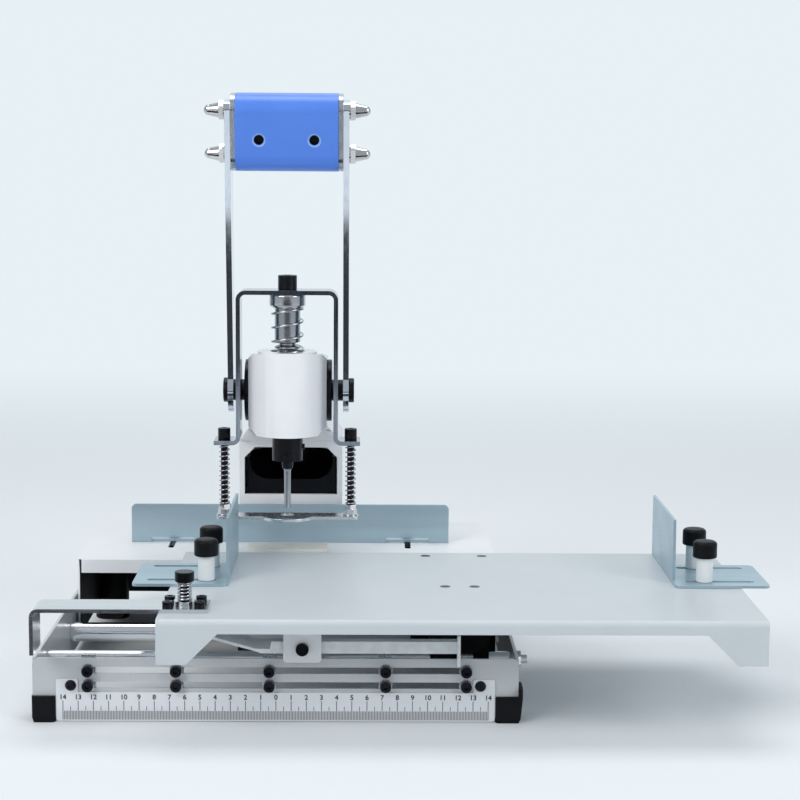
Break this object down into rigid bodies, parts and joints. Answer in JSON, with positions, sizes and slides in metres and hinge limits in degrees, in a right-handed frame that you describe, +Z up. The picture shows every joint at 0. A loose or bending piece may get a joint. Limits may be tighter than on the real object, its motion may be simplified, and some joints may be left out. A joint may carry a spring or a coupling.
{
  "type": "single-hole paper drill press",
  "caption": "Lever-operated paper drill press with a hollow bit, sprung presser and a sliding table with fences and adjustable index stops for punching binder holes.",
  "frame": {"origin": "on the ground plane, straight below the drill axis", "axes": "+X to the operator's right, +Y to the back, +Z up"},
  "size_m": [0.4972, 0.3696, 0.4157],
  "materials": {
    "white_paint": "gloss",
    "grey_powder": "satin",
    "black_iron": "matte",
    "black_plastic": "matte",
    "rubber": "matte",
    "zinc": "satin",
    "bright_steel": "polished",
    "spring_steel": "satin",
    "black_oxide": "satin",
    "aluminium": "satin",
    "bronze": "satin",
    "nylon": "satin",
    "blue_plastic": "satin"
  },
  "bodies": {
    "base": {"base_frame": "white_paint", "front_boots": "rubber", "anvil_base": "black_iron", "rear_legs": "black_plastic", "rear_housing": "white_paint", "frame_screws": "black_oxide", "scale_ruler": "aluminium", "rear_guide_rod": "bright_steel", "front_guide_rod": "bright_steel", "rod_end_nuts": "bright_steel", "cutting_pad": "nylon", "column_casting": "white_paint", "column_bolts": "black_oxide", "chip_guard": "black_plastic", "bearing_flanges": "black_oxide", "head_bushes": "bronze", "return_spring": "spring_steel"},
    "stop_1": {"index_stop_1": "black_oxide"},
    "stop_2": {"index_stop_2": "black_oxide"},
    "stop_3": {"index_stop_3": "black_oxide"},
    "stop_4": {"index_stop_4": "black_oxide"},
    "stop_5": {"index_stop_5": "black_oxide"},
    "table": {"table_top": "grey_powder", "handle_strap": "zinc", "table_screws": "black_oxide", "handle_pad": "rubber", "bearing_block": "black_plastic", "linear_bushes": "bronze", "front_slider": "black_plastic", "rocker_bracket": "white_paint", "rocker_pivot": "black_oxide", "clamp_sleeves": "nylon", "button_spring": "spring_steel"},
    "button": {"index_button": "black_oxide"},
    "rocker": {"index_rocker": "zinc"},
    "left_guide": {"left_guide": "zinc"},
    "right_guide": {"right_guide": "zinc"},
    "knob_lf": {"guide_knob_lf": "black_plastic"},
    "knob_lr": {"guide_knob_lr": "black_plastic"},
    "knob_rf": {"guide_knob_rf": "black_plastic"},
    "knob_rr": {"guide_knob_rr": "black_plastic"},
    "gauge": {"back_gauge": "zinc"},
    "lever": {"lever_arms": "bright_steel", "grip": "blue_plastic", "grip_end_plates": "zinc", "grip_bolts": "bright_steel", "pinion_shaft": "black_oxide", "pinion_gear": "black_oxide", "pivot_caps": "black_oxide"},
    "yoke": {"yoke_strap": "bright_steel", "presser_springs": "spring_steel"},
    "spindle": {"spindle": "bright_steel", "spindle_collar": "bright_steel", "yoke_screw": "black_oxide", "drill_chuck": "black_oxide", "collet_nut": "bright_steel", "drill_bit": "black_oxide"},
    "presser": {"presser_plate": "zinc", "presser_rods": "black_oxide", "presser_nuts": "bright_steel"}
  },
  "joints": [
    {"name": "lever_swing", "type": "hinge", "parent": "base", "child": "lever", "pos_m": [0, 0.0275, 0.1945], "axis": [1, 0, 0], "range_deg": [0, 85]},
    {"name": "yoke_slide", "type": "slide", "parent": "base", "child": "yoke", "axis": [0, 0, -1], "range_m": [0, 0.02893], "stiffness_N_per_m": 1800, "springref_m": -0.012, "deforming": ["return_spring"]},
    {"name": "spindle_turn", "type": "hinge", "parent": "yoke", "child": "spindle", "pos_m": [0, 0, 0.2], "axis": [0, 0, -1], "range_deg": [0, 360]},
    {"name": "presser_slide", "type": "slide", "parent": "yoke", "child": "presser", "axis": [0, 0, 1], "range_m": [0, 0.00787], "deforming": ["presser_springs"]},
    {"name": "table_slide", "type": "slide", "parent": "base", "child": "table", "axis": [1, 0, 0], "range_m": [-0.241, 0]},
    {"name": "button_press", "type": "slide", "parent": "table", "child": "button", "axis": [0, 0, -1], "range_m": [0, 0.005], "stiffness_N_per_m": 600, "springref_m": -0.003, "deforming": ["button_spring"]},
    {"name": "rocker_tilt", "type": "hinge", "parent": "table", "child": "rocker", "pos_m": [0.0175, -0.184, 0.051], "axis": [0, -1, 0], "range_deg": [0, 3.8]},
    {"name": "left_guide_slide", "type": "slide", "parent": "table", "child": "left_guide", "axis": [1, 0, 0], "range_m": [-0.003, 0.03]},
    {"name": "right_guide_slide", "type": "slide", "parent": "table", "child": "right_guide", "axis": [1, 0, 0], "range_m": [-0.03, 0.003]},
    {"name": "knob_turn_lf", "type": "hinge", "parent": "table", "child": "knob_lf", "pos_m": [-0.0504, -0.125, 0.105], "axis": [0, 0, 1], "range_deg": [0, 180]},
    {"name": "knob_turn_lr", "type": "hinge", "parent": "table", "child": "knob_lr", "pos_m": [-0.0504, -0.081, 0.105], "axis": [0, 0, 1], "range_deg": [0, 180]},
    {"name": "knob_turn_rf", "type": "hinge", "parent": "table", "child": "knob_rf", "pos_m": [0.2916, -0.125, 0.105], "axis": [0, 0, 1], "range_deg": [0, 180]},
    {"name": "knob_turn_rr", "type": "hinge", "parent": "table", "child": "knob_rr", "pos_m": [0.2916, -0.081, 0.105], "axis": [0, 0, 1], "range_deg": [0, 180]},
    {"name": "back_gauge_slide", "type": "slide", "parent": "base", "child": "gauge", "axis": [0, -1, 0], "range_m": [0, 0.032]},
    {"name": "stop_slide_1", "type": "slide", "parent": "base", "child": "stop_1", "axis": [1, 0, 0], "range_m": [0, 0.02]},
    {"name": "stop_slide_2", "type": "slide", "parent": "base", "child": "stop_2", "axis": [1, 0, 0], "range_m": [-0.02, 0.02]},
    {"name": "stop_slide_3", "type": "slide", "parent": "base", "child": "stop_3", "axis": [1, 0, 0], "range_m": [-0.02, 0.02]},
    {"name": "stop_slide_4", "type": "slide", "parent": "base", "child": "stop_4", "axis": [1, 0, 0], "range_m": [-0.02, 0.02]},
    {"name": "stop_slide_5", "type": "slide", "parent": "base", "child": "stop_5", "axis": [1, 0, 0], "range_m": [-0.02, 0]}
  ],
  "couplings": [
    {"joint": "yoke_slide", "follows": "lever_swing", "m_per_rad": 0.0195},
    {"joint": "spindle_turn", "follows": "lever_swing", "ratio": 4.235},
    {"joint": "presser_slide", "follows": "lever_swing", "m_per_rad": 0.0053},
    {"joint": "rocker_tilt", "follows": "button_press", "rad_per_m": 13.25}
  ]
}
